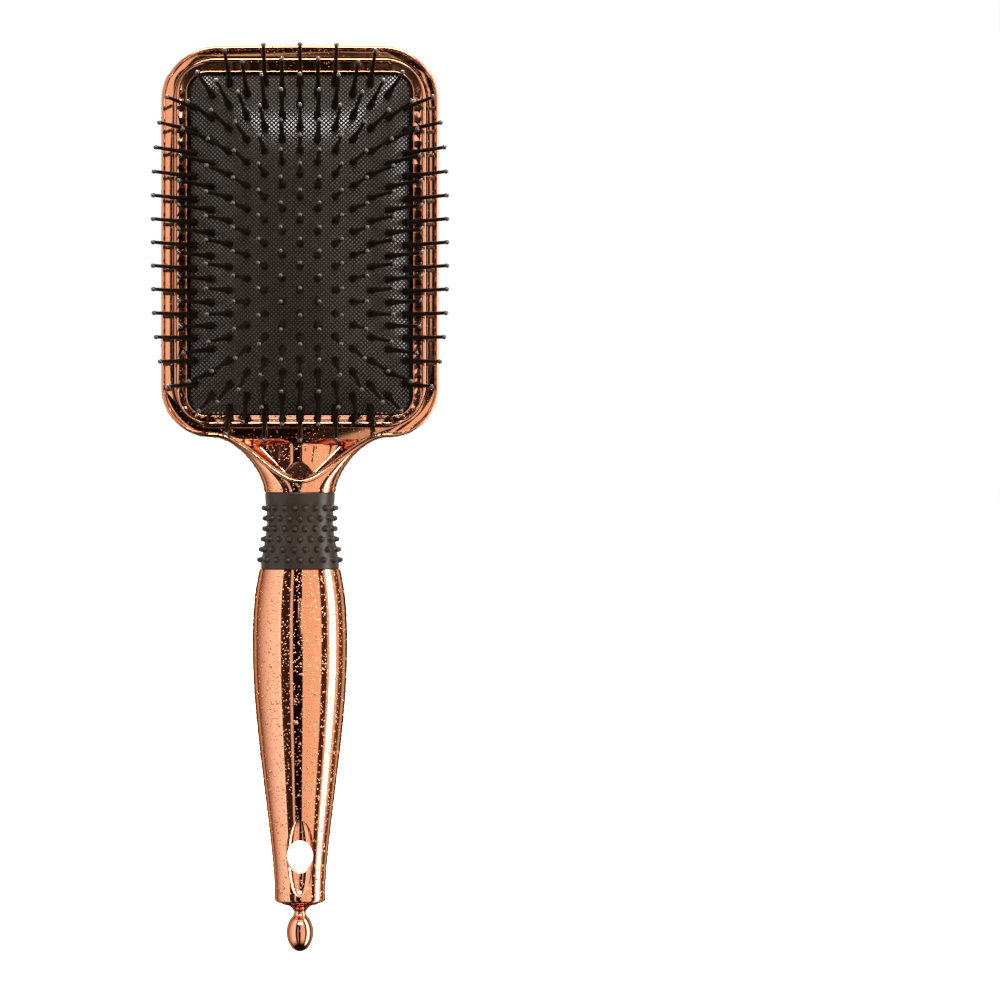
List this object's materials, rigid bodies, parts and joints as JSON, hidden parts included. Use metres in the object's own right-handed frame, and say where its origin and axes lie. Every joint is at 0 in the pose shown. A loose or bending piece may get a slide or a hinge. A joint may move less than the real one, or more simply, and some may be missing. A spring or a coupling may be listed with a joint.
{
  "type": "paddle hairbrush",
  "caption": "Paddle hairbrush with ball-tipped pins standing on a sprung cushion pad in a plated body, a rubber grip sleeve, a hanging hole and a droplet end.",
  "frame": {"origin": "centre of the rubber grip sleeve, where a hand holds the brush", "axes": "+Z along the handle towards the head, -Y the way the pins point, X across the head"},
  "size_m": [0.081, 0.0425, 0.2498],
  "materials": {
    "rose_plating": "mirror-bright rose gold plating with fine raised droplets",
    "pad_rubber": "satin dark grey-brown rubber with a fine woven emboss",
    "pin_nylon": "glossy near-black brown nylon",
    "grip_rubber": "satin dark grey-brown rubber with rows of small nubs"
  },
  "bodies": {
    "brush": {"brush_body": "rose_plating", "pad_frame": "rose_plating", "cushion_pad": "pad_rubber", "grip_sleeve": "grip_rubber", "end_plug": "rose_plating"},
    "pins_centre": {"pins_centre_1": "pin_nylon", "pins_centre_2": "pin_nylon", "pins_centre_3": "pin_nylon", "pins_centre_4": "pin_nylon", "pins_centre_5": "pin_nylon"},
    "pins_inner": {"pins_inner_left": "pin_nylon", "pins_inner_right": "pin_nylon", "pins_inner_top": "pin_nylon", "pins_inner_low": "pin_nylon"},
    "pins_middle": {"pins_middle_left": "pin_nylon", "pins_middle_right": "pin_nylon", "pins_middle_top": "pin_nylon", "pins_middle_low": "pin_nylon"},
    "pins_outer": {"pins_outer_left": "pin_nylon", "pins_outer_right": "pin_nylon", "pins_outer_top": "pin_nylon", "pins_outer_low": "pin_nylon"},
    "pins_edge": {"pins_edge_left": "pin_nylon", "pins_edge_right": "pin_nylon", "pins_edge_top": "pin_nylon", "pins_edge_low": "pin_nylon"}
  },
  "joints": [
    {"name": "cushion_press", "type": "slide", "parent": "brush", "child": "pins_centre", "axis": [0, 1, 0], "range_m": [0, 0.004], "stiffness_N_per_m": 2500, "deforming": ["cushion_pad"]},
    {"name": "cushion_press_inner", "type": "slide", "parent": "brush", "child": "pins_inner", "axis": [0, 1, 0], "range_m": [0, 0.0036]},
    {"name": "cushion_press_middle", "type": "slide", "parent": "brush", "child": "pins_middle", "axis": [0, 1, 0], "range_m": [0, 0.00296]},
    {"name": "cushion_press_outer", "type": "slide", "parent": "brush", "child": "pins_outer", "axis": [0, 1, 0], "range_m": [0, 0.00204]},
    {"name": "cushion_press_edge", "type": "slide", "parent": "brush", "child": "pins_edge", "axis": [0, 1, 0], "range_m": [0, 0.00076]}
  ],
  "couplings": [
    {"joint": "cushion_press_inner", "follows": "cushion_press", "ratio": 0.9},
    {"joint": "cushion_press_middle", "follows": "cushion_press", "ratio": 0.74},
    {"joint": "cushion_press_outer", "follows": "cushion_press", "ratio": 0.51},
    {"joint": "cushion_press_edge", "follows": "cushion_press", "ratio": 0.19}
  ]
}
